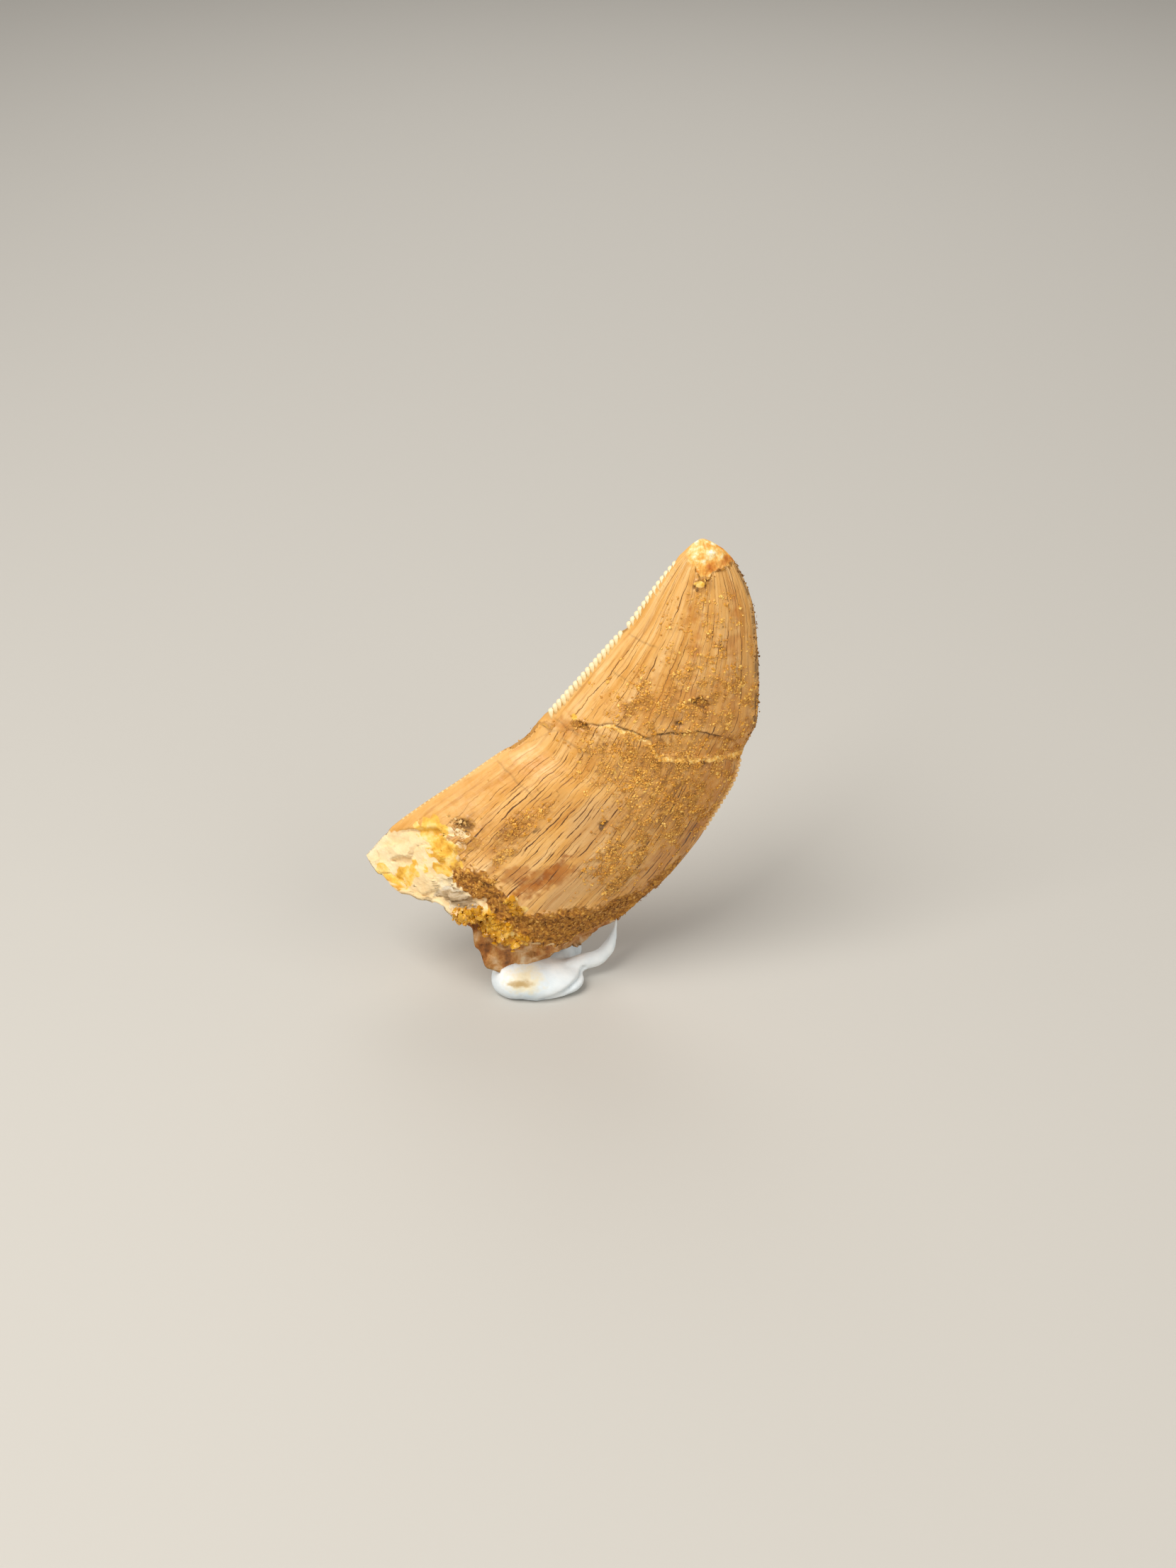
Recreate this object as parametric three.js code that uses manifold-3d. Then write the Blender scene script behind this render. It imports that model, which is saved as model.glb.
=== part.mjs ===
// Fossil theropod tooth, broken at its root and stood in a lump of white mounting putty.
// Millimetres, +Z up, +X towards the tooth's convex edge, +Y away from the viewer.
// The origin is on the putty's flat foot, under the middle of the lump.
import * as THREE from 'three';
import { mergeVertices } from 'three/addons/utils/BufferGeometryUtils.js';
import Module from 'manifold-3d';

const wasm = await Module();
wasm.setup();

// Driving dimensions of the tooth. Its outline lies in its own plane, as [across, up].
const leanBack = THREE.MathUtils.degToRad(6);
const planeDepth = -1.6; // y where the tooth's plane meets the foot
const distalEdge = [
  [-17.3, 13.1], [-15.0, 15.85], [-11.8, 18.5], [-8.1, 21.2], [-4.7, 23.8], [-3.2, 24.7], [-2.0, 25.6],
  [-0.8, 27.2], [2.0, 30.65], [5.4, 34.85], [7.1, 36.9], [9.5, 40.55], [11.3, 42.9], [12.9, 44.4],
];
const mesialEdge = [
  [3.0, 2.6], [6.3, 5.9], [10.6, 10.35], [13.3, 14.0], [15.4, 17.65], [17.1, 21.2], [17.65, 24.0],
  [18.2, 25.5], [18.8, 27.2], [18.8, 31.5], [18.45, 35.7], [17.9, 38.9], [16.55, 42.1], [15.3, 43.7],
  [14.0, 44.45],
];
const tipPoint = [13.4, 44.65];

// Profiles along the tooth or across it, as [share, value], eased between the points.
const frontRim = [
  [0, 0], [0.07, 0.4], [0.15, 0.9], [0.22, 0.1], [0.32, -0.7], [0.44, -0.2], [0.49, 0.3], [0.56, 2.2],
  [0.65, 3.9], [0.77, 4.2], [0.92, 2.8], [1, 0],
];
const backRim = [[0, 0], [0.15, 0.6], [0.4, 1.2], [0.62, 3.4], [0.8, 3.6], [1, 0]];
const distalDenticles = [
  [0, 0], [0.06, 0.5], [0.36, 0.6], [0.42, 0], [0.48, 0.2], [0.52, 1], [0.92, 1], [0.97, 0],
];
const mesialDenticles = [[0.2, 0], [0.3, 0.35], [0.5, 0.5], [0.54, 0], [0.6, 0.4], [0.9, 0.4], [0.96, 0]];
const thickness = { base: 9.4, tip: 1.7, taper: 1.7 };
const rimReach = 0.22; // share of the tooth over which the broken rim fades out
const frontShare = 0.55; // share of the thickness in front of the plane
const lensPower = 2.3; // section shape: 2 is a parabola, more is flatter sided
const denticlePitch = 0.58;
const denticleHeight = 0.5;
const pulpPit = 2.6; // how far the broken base is hollowed
const pitRoughness = 0.35;
const socketFill = 4; // how far the socket's floor bulges below the base, so no putty enters the hollow

// The ragged lower edge of the enamel, and the root stub set back below the crystals.
const enamelEdge = [
  [0, 0.08], [0.1, 0.165], [0.22, 0.145], [0.28, 0.12], [0.37, 0.135], [0.52, 0.1], [0.65, 0.12],
  [0.81, 0.14], [0.93, 0.19], [1, 0.2],
];
const enamelStep = { depth: 0.55, width: 0.03 };
const stubStep = { depth: 0.9, from: 0.025, to: 0.05, across: [0.46, 0.58] };

// The crack right across the crown, with a lens-shaped chip lost above its mesial half.
const crackLine = [
  [0, 0.43], [0.09, 0.5], [0.2, 0.548], [0.33, 0.566], [0.47, 0.558], [0.6, 0.53], [1, 0.546],
];
const chipTop = [[0.46, 0.556], [0.64, 0.588], [0.72, 0.592], [1, 0.556]];
const breakCrack = { halfWidth: 0.006, depth: 0.35 };
const chipDepth = 0.22;

// Small pits in the front of the enamel, at a rise and an across.
const pits = [
  { rise: 0.652, across: 0.647, radius: 1.0, sink: 0.5 },
  { rise: 0.602, across: 0.573, radius: 0.6, sink: 0.35 },
  { rise: 0.893, across: 0.46, radius: 0.7, sink: 0.3 },
];

// Mineral crust and crystals fused to the broken base: the line they follow and how big each lump is.
const crystals = {
  count: 15,
  across: [0.38, 0.8],
  line: [[0.38, 0.012], [0.46, 0.026], [0.55, 0.048], [0.65, 0.06], [0.8, 0.062]],
  scatter: 0.03,
  radius: [0.6, 1.1],
  sink: 0.4,
};
const crust = {
  count: 16,
  across: [0.24, 0.95],
  line: [[0.24, 0.11], [0.37, 0.09], [0.52, 0.078], [0.8, 0.1], [0.95, 0.14]],
  scatter: 0.035,
  radius: [0.7, 1.2],
  sink: 0.62,
};

// Driving dimensions of the putty: lobes as centre and radii, and a flap pinched up beside the convex edge.
const lobes = [
  { centre: [-1.2, -3.4, 1.2], radii: [4.5, 2.9, 2.4] },
  { centre: [-0.5, 0.3, 1.0], radii: [5.0, 5.4, 3.0] },
  { centre: [-0.5, 2.8, 1.2], radii: [4.7, 3.7, 2.4] },
  { centre: [1.9, 1.9, 0.5], radii: [4.35, 3.1, 1.4] },
];
const flap = {
  route: [
    [1.4, -2.6, 1.5], [3.0, -2.0, 1.9], [4.4, -1.5, 2.2],
    [5.5, -1.2, 3.5], [6.05, -1.0, 5.0], [6.2, -0.95, 6.1],
  ],
  radius: [1.35, 0.35],
  sides: 10,
  steps: 10,
};
const socketGap = 0.3;
const footCut = 40; // side of the block that trims the putty flat

const facesPerSide = 10; // section facets on each face of the tooth
const capRings = 3;

// A repeatable stream of numbers from 0 to 1.
function numberStream(seed) {
  let state = seed;
  return () => {
    state = (state * 16807) % 2147483647;
    return state / 2147483647;
  };
}

// Value of a profile at a share, eased between its points.
function valueAt(profile, share) {
  if (share <= profile[0][0]) return profile[0][1];
  for (let i = 1; i < profile.length; i++) {
    const [from, low] = profile[i - 1];
    const [to, high] = profile[i];
    if (share <= to) return THREE.MathUtils.lerp(low, high, THREE.MathUtils.smoothstep(share, from, to));
  }
  return profile[profile.length - 1][1];
}

const curveOf = (points) => new THREE.SplineCurve(points.map(([x, y]) => new THREE.Vector2(x, y)));
const distalCurve = curveOf(distalEdge);
const mesialCurve = curveOf(mesialEdge);
const rootward = new THREE.Vector2(...mesialEdge[0])
  .sub(new THREE.Vector2(...distalEdge[0]))
  .normalize()
  .rotateAround(new THREE.Vector2(), -Math.PI / 2);

// Point on the tooth. rise runs from the base to the tip, across from the distal edge to the mesial one,
// and face is -1 on the front and 1 on the back. grow thickens the tooth all round.
function crownPoint(rise, across, face, grow) {
  const distal = distalCurve.getPointAt(rise);
  const mesial = mesialCurve.getPointAt(rise);
  const outward = distal.clone().sub(mesial).normalize();
  const place = distal.clone().addScaledVector(outward, grow);
  place.lerp(mesial.addScaledVector(outward, -grow), across);
  const fade = Math.max(0, 1 - rise / rimReach) ** 2;
  place.addScaledVector(rootward, (valueAt(face < 0 ? frontRim : backRim, across) + grow) * fade);

  const lens = 1 - Math.abs(2 * across - 1) ** lensPower;
  const deep = THREE.MathUtils.lerp(thickness.base, thickness.tip, rise ** thickness.taper);
  let half = deep * (face < 0 ? frontShare : 1 - frontShare) + grow;
  const bared = valueAt(enamelEdge, across) - rise;
  half -= enamelStep.depth * THREE.MathUtils.smoothstep(bared, 0, enamelStep.width);
  const stub = 1 - THREE.MathUtils.smoothstep(rise, stubStep.from, stubStep.to);
  half -= stubStep.depth * stub * THREE.MathUtils.smoothstep(across, ...stubStep.across);
  const aboveCrack = rise - valueAt(crackLine, across);
  const inChip = face < 0 && aboveCrack > 0 && rise < valueAt(chipTop, across);
  half -= inChip ? chipDepth : 0;
  half -= breakCrack.depth * Math.max(0, 1 - Math.abs(aboveCrack) / breakCrack.halfWidth);
  return new THREE.Vector3(place.x, face * half * lens, place.y);
}

// One ring round the tooth: along the front from the distal edge, and back along the other face.
function crownRing(rise, grow, tooth) {
  const ring = [];
  const columns = 2 * facesPerSide;
  for (let i = 0; i < columns; i++) {
    const across = (1 - Math.cos((Math.PI * i) / facesPerSide)) / 2;
    ring.push(crownPoint(rise, across, i <= facesPerSide ? -1 : 1, grow));
  }
  const outward = ring[0].clone().sub(ring[facesPerSide]).normalize();
  ring[0].addScaledVector(outward, tooth * denticleHeight * valueAt(distalDenticles, rise));
  ring[facesPerSide].addScaledVector(outward, -tooth * denticleHeight * valueAt(mesialDenticles, rise));
  return ring;
}

// A closed surface through equal rings, with a pole at each end.
function loft(startPole, rings, endPole) {
  const count = rings[0].length;
  const points = [startPole, ...rings.flat(), endPole];
  const faces = [];
  const at = (ring, i) => 1 + ring * count + (i % count);
  for (let i = 0; i < count; i++) {
    faces.push(0, at(0, i + 1), at(0, i));
    for (let ring = 0; ring + 1 < rings.length; ring++) {
      faces.push(at(ring, i), at(ring, i + 1), at(ring + 1, i + 1));
      faces.push(at(ring, i), at(ring + 1, i + 1), at(ring + 1, i));
    }
    faces.push(at(rings.length - 1, i), at(rings.length - 1, i + 1), points.length - 1);
  }
  return new THREE.BufferGeometry().setFromPoints(points).setIndex(faces);
}

function solidOf(geometry) {
  const bare = geometry.clone();
  bare.deleteAttribute('normal');
  bare.deleteAttribute('uv');
  const merged = mergeVertices(bare, 1e-4);
  return new wasm.Manifold(
    new wasm.Mesh({
      numProp: 3,
      vertProperties: merged.attributes.position.array,
      triVerts: new Uint32Array(merged.index.array),
    }),
  );
}

function geometryOf(solid) {
  const mesh = solid.getMesh();
  const geometry = new THREE.BufferGeometry();
  geometry.setAttribute('position', new THREE.BufferAttribute(mesh.vertProperties, 3));
  geometry.setIndex(new THREE.BufferAttribute(mesh.triVerts, 1));
  geometry.computeVertexNormals();
  return geometry;
}

// The crown, with a zigzag of denticles down both edges and a hollowed break at the base.
// A grown crown, for the socket, has a smooth bulging base instead of the hollow.
function crown(grow) {
  const roughness = numberStream(71);
  const rows = 2 * Math.round(distalCurve.getLength() / denticlePitch);
  const rings = [];
  for (let row = 0; row <= rows; row++) rings.push(crownRing(row / rows, grow, row % 2 ? 0.5 : -0.5));

  const hollow = grow > 0 ? -socketFill : pulpPit;
  const rough = grow > 0 ? 0 : pitRoughness;
  const middle = crownPoint(0, 0.5, -1, grow).setY(0);
  const pitTop = middle.clone().add(new THREE.Vector3(-rootward.x, 0, -rootward.y).multiplyScalar(hollow));
  const rim = rings[0];
  for (let i = 1; i <= capRings; i++) {
    const inward = i / (capRings + 1);
    const ring = rim.map((point) => point.clone().lerp(pitTop, inward));
    for (const point of ring) point.z += (roughness() - 0.5) * rough;
    rings.unshift(ring);
  }
  return loft(pitTop, rings, new THREE.Vector3(tipPoint[0], 0, tipPoint[1] + grow));
}

// Angular lumps strung along a band of the front face.
function lumpsAlong(band, seed, grow) {
  const next = numberStream(seed);
  const pick = ([low, high]) => THREE.MathUtils.lerp(low, high, next());
  const lumps = [];
  for (let i = 0; i < band.count; i++) {
    const across = THREE.MathUtils.lerp(...band.across, i / (band.count - 1));
    const rise = Math.max(0, valueAt(band.line, across) + band.scatter * (next() - 0.5));
    const place = crownPoint(rise, across, -1, 0);
    const radius = pick(band.radius);
    const lump = new THREE.IcosahedronGeometry(radius + grow, 0);
    lump.rotateX(next() * Math.PI).rotateZ(next() * Math.PI);
    lump.translate(place.x, place.y + radius * band.sink, place.z);
    lumps.push(solidOf(lump));
  }
  return lumps;
}

function toothSolid(grow) {
  const lumps = [...lumpsAlong(crystals, 11, grow), ...lumpsAlong(crust, 29, grow)];
  const whole = lumps.reduce((body, lump) => body.add(lump), solidOf(crown(grow)));
  return pits.reduce((body, { rise, across, radius, sink }) => {
    const place = crownPoint(rise, across, -1, 0);
    const hollow = new THREE.IcosahedronGeometry(radius, 1);
    hollow.translate(place.x, place.y - radius + sink, place.z);
    return body.subtract(solidOf(hollow));
  }, whole);
}

// A tapering tube of putty along a route, wider than it is deep.
function flapGeometry() {
  const curve = new THREE.CatmullRomCurve3(flap.route.map((point) => new THREE.Vector3(...point)));
  const rings = [];
  for (let step = 0; step <= flap.steps; step++) {
    const share = step / flap.steps;
    const centre = curve.getPointAt(share);
    const along = curve.getTangentAt(share);
    const side = new THREE.Vector3(0, 1, 0).cross(along).normalize();
    const deep = along.clone().cross(side);
    const radius = THREE.MathUtils.lerp(...flap.radius, share);
    const ring = [];
    for (let i = 0; i < flap.sides; i++) {
      const turn = (2 * Math.PI * i) / flap.sides;
      ring.push(
        centre
          .clone()
          .addScaledVector(side, radius * Math.cos(turn))
          .addScaledVector(deep, radius * Math.sin(turn)),
      );
    }
    rings.push(ring);
  }
  return loft(curve.getPointAt(0), rings, curve.getPointAt(1));
}

// Lobes and flap joined, trimmed flat underneath and pressed away round the tooth.
function puttySolid(toothPlacement) {
  const pieces = lobes.map(({ centre, radii }) => {
    const lobe = new THREE.SphereGeometry(1, 20, 12);
    lobe.rotateX(Math.PI / 2).scale(...radii).translate(...centre);
    return solidOf(lobe);
  });
  const lump = pieces.reduce((whole, piece) => whole.add(piece), solidOf(flapGeometry()));
  const below = solidOf(new THREE.BoxGeometry(footCut, footCut, footCut).translate(0, 0, -footCut / 2));
  const socket = solidOf(geometryOf(toothSolid(socketGap)).applyMatrix4(toothPlacement));
  return lump.subtract(below).subtract(socket);
}

const fossilTooth = new THREE.Group();

const tooth = new THREE.Mesh(
  geometryOf(toothSolid(0)),
  new THREE.MeshStandardMaterial({ color: 0xbf8a4c, roughness: 0.45, metalness: 0 }),
);
tooth.name = 'tooth';
tooth.position.set(0, planeDepth, 0);
tooth.rotation.x = -leanBack;
tooth.updateMatrix();
fossilTooth.add(tooth);

const putty = new THREE.Mesh(
  geometryOf(puttySolid(tooth.matrix)),
  new THREE.MeshStandardMaterial({ color: 0xe4e9ec, roughness: 0.65, metalness: 0 }),
);
putty.name = 'putty';
fossilTooth.add(putty);

export default fossilTooth;
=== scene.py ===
import math
import random

import bmesh
import bpy
import numpy as np
from mathutils import Euler, Matrix, Vector, noise
from mathutils.bvhtree import BVHTree


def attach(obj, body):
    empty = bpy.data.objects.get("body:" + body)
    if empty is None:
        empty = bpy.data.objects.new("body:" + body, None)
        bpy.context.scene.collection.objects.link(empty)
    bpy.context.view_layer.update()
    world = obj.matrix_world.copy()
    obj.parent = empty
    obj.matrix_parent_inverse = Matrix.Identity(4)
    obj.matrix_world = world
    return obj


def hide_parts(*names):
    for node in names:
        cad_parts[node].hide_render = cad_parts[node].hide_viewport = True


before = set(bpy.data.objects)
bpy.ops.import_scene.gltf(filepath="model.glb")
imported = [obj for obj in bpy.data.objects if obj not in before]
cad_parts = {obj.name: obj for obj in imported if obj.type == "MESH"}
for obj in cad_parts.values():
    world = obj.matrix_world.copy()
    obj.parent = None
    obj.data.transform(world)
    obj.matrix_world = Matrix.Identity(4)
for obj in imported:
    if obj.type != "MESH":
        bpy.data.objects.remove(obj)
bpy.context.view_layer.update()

mm = 0.001
scene = bpy.context.scene


# small helpers for profiles, splines and roughness
def smooth(low, high, values):
    step = np.clip((values - low) / (high - low), 0, 1)
    return step * step * (3 - 2 * step)


def eased(profile, shares):  # value of a (share, value) profile, eased between its points
    places, values = np.array(profile, float).T
    spot = np.clip(np.searchsorted(places, shares) - 1, 0, len(places) - 2)
    step = smooth(0, 1, (shares - places[spot]) / (places[spot + 1] - places[spot]))
    return values[spot] + (values[spot + 1] - values[spot]) * step


def edgeCurve(points):  # spline through the points, read by share of its length
    knots = np.array(points, float)
    padded = np.vstack([knots[:1], knots, knots[-1:]])

    def spline(share):
        spot = np.minimum((share * (len(knots) - 1)).astype(int), len(knots) - 2)
        t = (share * (len(knots) - 1) - spot)[:, None]
        before, start, end, after = (padded[spot + i] for i in range(4))
        leave, arrive = (end - before) / 2, (after - start) / 2
        return ((2 * start - 2 * end + leave + arrive) * t**3
                + (-3 * start + 3 * end - 2 * leave - arrive) * t**2 + leave * t + start)

    fine = np.linspace(0, 1, 2001)
    steps = np.linalg.norm(np.diff(spline(fine), axis=0), axis=1)
    length = np.concatenate([[0], np.cumsum(steps)])
    return lambda share: spline(np.interp(share * length[-1], length, fine))


def roughness(points, scale, octaves=3):  # fractal noise at each point, about -1 to 1
    return np.array([noise.fractal(Vector(p), 1.0, 2.0, octaves) for p in points * scale])


def facets(points, scale):  # broken faces: each cell of a scattered pattern has its own height and tilt
    heights = []
    for p in points * scale:
        seed = noise.voronoi(Vector(p))[1][0]
        tilt = noise.cell_vector(seed * 9) * 2 - Vector((1, 1, 1))
        heights.append(tilt.x * 0.5 + tilt.dot(Vector(p) - seed))
    return np.array(heights)


# strongest of some patches at each point
def spots(blobs, across, rise, wobble, core=0.65, rim=1.15):
    field = np.zeros(len(rise))
    for a, r, wide, tall, strength in blobs:
        reach = np.hypot((across - a) / wide, (rise - r) / tall) + wobble
        field = np.maximum(field, strength * (1 - smooth(core, rim, reach)))
    return field


def hexColour(code):
    parts = [int(code[i:i + 2], 16) / 255 for i in (1, 3, 5)]
    return [p / 12.92 if p <= 0.04045 else ((p + 0.055) / 1.055) ** 2.4 for p in parts] + [1.0]


# small helpers for materials
def newMaterial(name):
    made = bpy.data.materials.new(name)
    made.use_nodes = True
    return made, made.node_tree, made.node_tree.nodes["Principled BSDF"]


def feed(tree, socket, value):
    if isinstance(value, bpy.types.NodeSocket):
        tree.links.new(value, socket)
    else:
        socket.default_value = value


def named(tree, attribute, part=None):  # a mesh attribute, or one channel of it
    reader = tree.nodes.new("ShaderNodeAttribute")
    reader.attribute_name = attribute
    if part is None:
        return reader.outputs["Vector"]
    split = tree.nodes.new("ShaderNodeSeparateColor")
    tree.links.new(reader.outputs["Color"], split.inputs[0])
    return split.outputs[part]


def stretched(tree, vector, scale, offset=(0, 0, 0)):
    mapping = tree.nodes.new("ShaderNodeMapping")
    feed(tree, mapping.inputs["Vector"], vector)
    mapping.inputs["Scale"].default_value = scale
    mapping.inputs["Location"].default_value = offset
    return mapping.outputs[0]


def grainNoise(tree, vector, scale, detail=3.0, rough=0.55, distort=0.0):
    made = tree.nodes.new("ShaderNodeTexNoise")
    feed(tree, made.inputs["Vector"], vector)
    for name, value in (("Scale", scale), ("Detail", detail), ("Roughness", rough), ("Distortion", distort)):
        made.inputs[name].default_value = value
    return made.outputs[0]


def maths(tree, operation, first, second=0.0, clamp=False):
    made = tree.nodes.new("ShaderNodeMath")
    made.operation = operation
    made.use_clamp = clamp
    feed(tree, made.inputs[0], first)
    feed(tree, made.inputs[1], second)
    return made.outputs[0]


def weighed(tree, first, firstShare, second, secondShare):
    start = maths(tree, "MULTIPLY", first, firstShare)
    return maths(tree, "ADD", start, maths(tree, "MULTIPLY", second, secondShare))


def ranged(tree, value, low, high, start=0.0, end=1.0):  # eased from start at low to end at high
    made = tree.nodes.new("ShaderNodeMapRange")
    made.interpolation_type = "SMOOTHSTEP"
    feed(tree, made.inputs["Value"], value)
    for name, number in (("From Min", low), ("From Max", high), ("To Min", start), ("To Max", end)):
        made.inputs[name].default_value = number
    return made.outputs[0]


def ramp(tree, factor, stops):
    made = tree.nodes.new("ShaderNodeValToRGB")
    feed(tree, made.inputs[0], factor)
    while len(made.color_ramp.elements) < len(stops):
        made.color_ramp.elements.new(0.5)
    for element, (place, code) in zip(made.color_ramp.elements, stops):
        element.position = place
        element.color = hexColour(code)
    return made.outputs[0]


def blended(tree, factor, first, second):
    made = tree.nodes.new("ShaderNodeMix")
    made.data_type = "RGBA"
    feed(tree, made.inputs[0], factor)
    feed(tree, made.inputs[6], hexColour(first) if isinstance(first, str) else first)
    feed(tree, made.inputs[7], hexColour(second) if isinstance(second, str) else second)
    return made.outputs[2]


def bumped(tree, shader, height, distance, strength=1.0):
    made = tree.nodes.new("ShaderNodeBump")
    made.inputs["Strength"].default_value = strength
    made.inputs["Distance"].default_value = distance
    feed(tree, made.inputs["Height"], height)
    tree.links.new(made.outputs[0], shader.inputs["Normal"])


def addPiece(name, mesh, material):
    piece = bpy.data.objects.new(name, mesh)
    scene.collection.objects.link(piece)
    mesh.materials.clear()
    mesh.materials.append(material)
    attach(piece, "root")
    return piece


# The tooth. Its outline lies in its own plane as (across, up), in millimetres.
# rise runs from 0 at the base to 1 at the tip, across from 0 on the distal edge to 1 on the mesial edge.
crown = {
    "leanBack": math.radians(6),
    "planeDepth": -1.6,
    "distalEdge": [(-17.3, 13.1), (-15, 15.85), (-11.8, 18.5), (-8.1, 21.2), (-4.7, 23.8), (-3.2, 24.7),
                   (-2, 25.6), (-0.8, 27.2), (2, 30.65), (5.4, 34.85), (7.1, 36.9), (9.5, 40.55),
                   (11.3, 42.9), (12.9, 44.4)],
    "mesialEdge": [(3, 2.6), (6.3, 5.9), (10.6, 10.35), (13.3, 14), (15.4, 17.65), (17.1, 21.2),
                   (17.65, 24), (18.2, 25.5), (18.8, 27.2), (18.8, 31.5), (18.45, 35.7), (17.9, 38.9),
                   (16.55, 42.1), (15.3, 43.7), (14, 44.45)],
    "frontRim": [(0, 0), (0.02, 0.3), (0.07, 0.5), (0.15, 0.9), (0.22, 0.1), (0.32, -0.7), (0.44, -0.2),
                 (0.49, 0.3), (0.56, 2.2), (0.65, 3.9), (0.77, 4.2), (0.85, 3.2), (0.9, 0.6), (1, 0)],
    "backRim": [(0, 0), (0.15, 0.6), (0.4, 1.2), (0.62, 3.4), (0.8, 3.6), (1, 0)],
    # how far each edge lies behind its denticles
    "distalInset": [(0, 0), (0.06, 0.05), (0.4, 0.05), (0.44, 0), (0.51, 0), (0.54, 0.2), (0.755, 0.2),
                    (0.765, 0.4), (0.775, 0.2), (0.93, 0.2), (0.96, 0), (1, 0)],
    "mesialInset": [(0, 0.7), (0.05, 0.6), (0.1, 0), (0.34, 0), (0.38, 0.12), (0.53, 0.12), (0.55, 0),
                    (1, 0)],
    "insetReach": 0.07,  # share of the width over which an inset fades out
    "rimReach": 0.22,  # share of the tooth over which the broken rim fades out
    "baseThickness": 9.4,
    "tipThickness": 1.7,
    "taper": 1.7,
    "frontShare": 0.55,
    "lensPower": 2.3,
    "length": 46.0,  # along the middle, to turn a rise into millimetres
    "width": 20.0,  # and an across
    "hollow": 2.6,  # depth of the broken base
    "stubDepth": 1.1,  # how far the stub steps back under the crystals
    "tipPoint": (13.4, 44.65),
    "domeRise": 0.97,  # where the rounded tip begins
    "domePower": 1.45,
    "frontColumns": 150,
    "backColumns": 52,
    "rows": 480,
    "capRows": 26,
    "tipRows": 16,
}

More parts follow.
